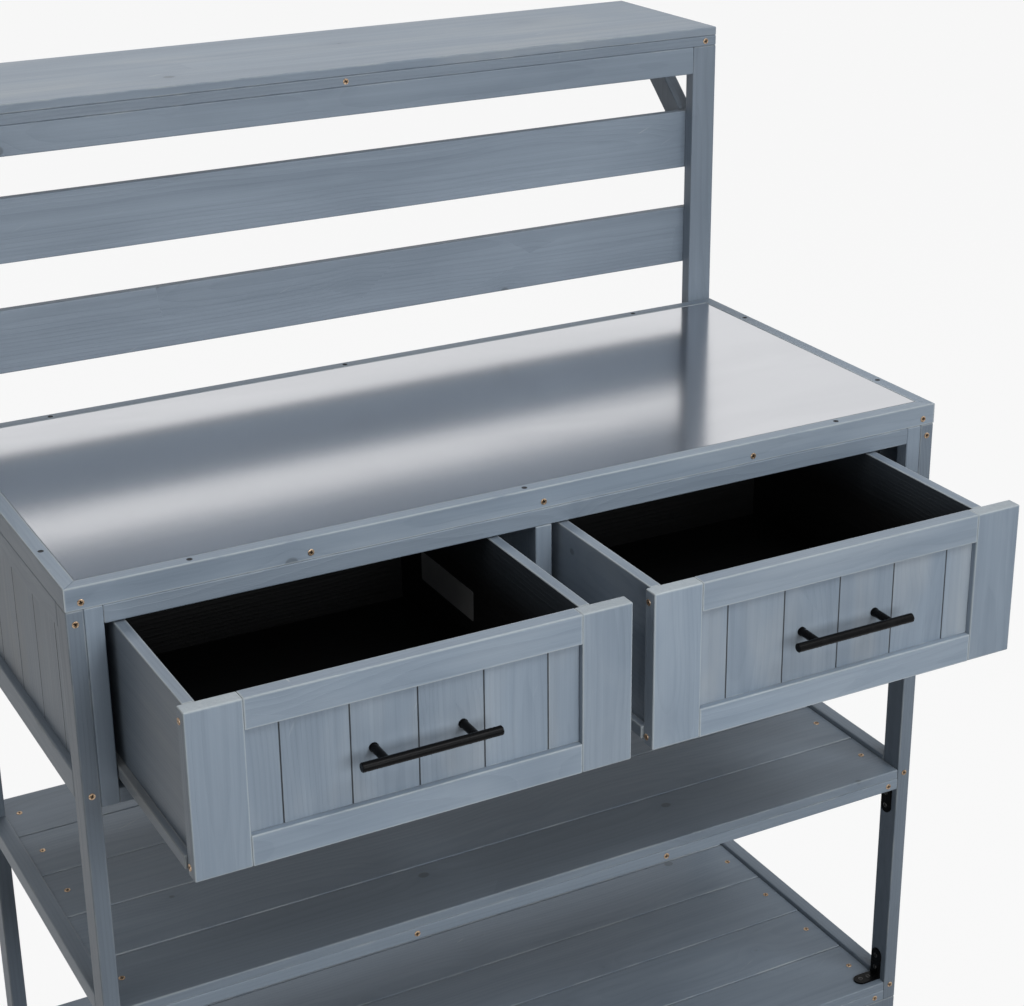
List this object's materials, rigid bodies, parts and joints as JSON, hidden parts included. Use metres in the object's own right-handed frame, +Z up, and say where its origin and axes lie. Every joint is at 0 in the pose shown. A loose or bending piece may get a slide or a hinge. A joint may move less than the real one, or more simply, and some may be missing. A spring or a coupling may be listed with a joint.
{
  "type": "potting bench",
  "caption": "Wooden potting bench: metal-topped work table with two slide-out drawers, two slatted shelves below and a slatted hutch with a narrow top board.",
  "frame": {"origin": "on the floor, in the middle of the box around the whole bench with its drawers open as shown", "axes": "+X to the right along the bench, +Y towards its back, +Z up"},
  "size_m": [1.06, 0.964, 1.24],
  "materials": {
    "stained_wood": "grey-blue stained softwood, satin",
    "raw_wood": "unfinished softwood",
    "black_paint": "black painted board, satin",
    "sheet_metal": "dull galvanised sheet",
    "black_metal": "satin black",
    "screw_brass": "yellow plated"
  },
  "bodies": {
    "bench": {"back_board": "stained_wood", "bottom_shelf_aprons": "stained_wood", "bottom_shelf_boards": "stained_wood", "bottom_shelf_rails": "stained_wood", "braces": "stained_wood", "brackets": "black_metal", "centre_divider": "stained_wood", "drawer_slides": "stained_wood", "feet": "stained_wood", "frame_back": "stained_wood", "frame_front": "stained_wood", "frame_left": "stained_wood", "frame_right": "stained_wood", "frame_screws": "screw_brass", "hutch_board": "stained_wood", "hutch_cleats": "stained_wood", "hutch_lip": "stained_wood", "hutch_rail": "stained_wood", "leg_front_left": "stained_wood", "leg_front_right": "stained_wood", "leg_rear_left": "stained_wood", "leg_rear_right": "stained_wood", "middle_shelf_aprons": "stained_wood", "middle_shelf_boards": "stained_wood", "middle_shelf_rails": "stained_wood", "opening_rail": "stained_wood", "post_left": "stained_wood", "post_right": "stained_wood", "shelf_cleats": "stained_wood", "shelf_screws": "screw_brass", "side_boards_left": "stained_wood", "side_boards_right": "stained_wood", "side_rails_left": "stained_wood", "side_rails_right": "stained_wood", "sills": "stained_wood", "slat_lower": "stained_wood", "slat_upper": "stained_wood", "stile_left": "stained_wood", "stile_right": "stained_wood", "worktop_panel": "stained_wood", "worktop_sheet": "sheet_metal"},
    "drawer_left": {"drawer_left_floor": "black_paint", "drawer_left_front_boards": "stained_wood", "drawer_left_front_rails": "stained_wood", "drawer_left_front_stiles": "stained_wood", "drawer_left_handle": "black_metal", "drawer_left_rear": "black_paint", "drawer_left_runners": "raw_wood", "drawer_left_screws": "screw_brass", "drawer_left_walls": "black_paint"},
    "drawer_right": {"drawer_right_floor": "black_paint", "drawer_right_front_boards": "stained_wood", "drawer_right_front_rails": "stained_wood", "drawer_right_front_stiles": "stained_wood", "drawer_right_handle": "black_metal", "drawer_right_rear": "black_paint", "drawer_right_runners": "raw_wood", "drawer_right_screws": "screw_brass", "drawer_right_walls": "black_paint"}
  },
  "joints": [
    {"name": "drawer_left_slide", "type": "slide", "parent": "bench", "child": "drawer_left", "axis": [0, -1, 0], "range_m": [-0.209, 0.121]},
    {"name": "drawer_right_slide", "type": "slide", "parent": "bench", "child": "drawer_right", "axis": [0, -1, 0], "range_m": [-0.205, 0.125]}
  ]
}
